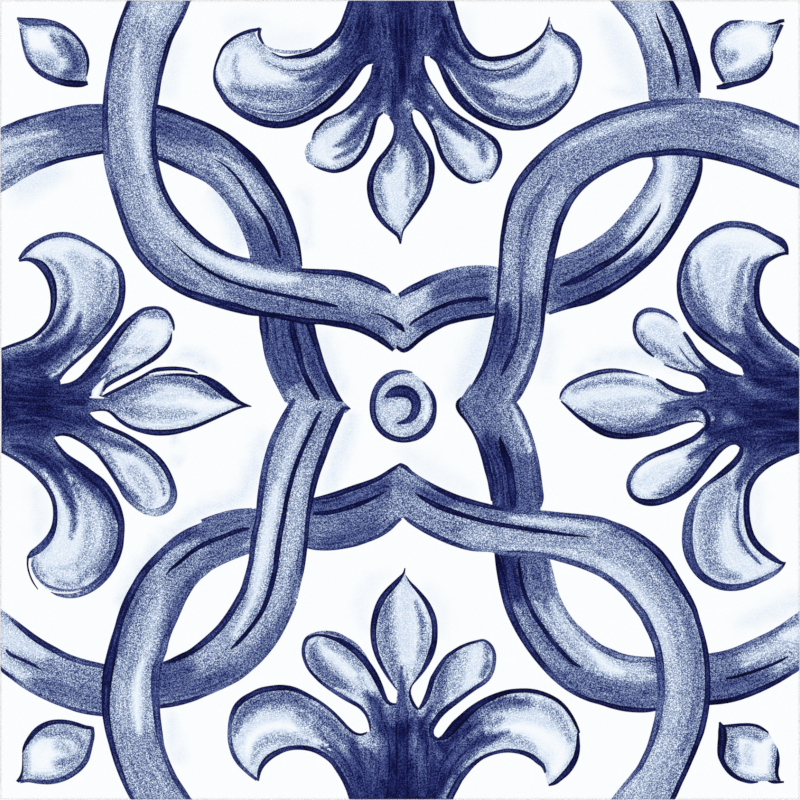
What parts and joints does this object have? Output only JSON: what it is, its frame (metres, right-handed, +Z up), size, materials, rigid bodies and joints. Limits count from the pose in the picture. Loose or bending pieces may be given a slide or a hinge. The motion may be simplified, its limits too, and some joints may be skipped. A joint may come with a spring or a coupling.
{
  "type": "porcelain tile",
  "caption": "Square glazed porcelain wall and floor tile with a blue interlaced strapwork and palmette pattern, eased face edges and a ribbed back for adhesive.",
  "frame": {"origin": "middle of the back, on the plane that the tile rests on", "axes": "+Z up through the decorated face, +X and +Y square to the edges, with +Y towards the top of the pattern"},
  "size_m": [0.2, 0.2, 0.009],
  "materials": {
    "porcelain_body": "fired unglazed porcelain body, dry matt, on the sides and the back",
    "painted_glaze": "satin white glaze with cobalt blue decoration under it, on the face and its rounded edges"
  },
  "bodies": {
    "root": {"tile": "porcelain_body"}
  },
  "joints": []
}
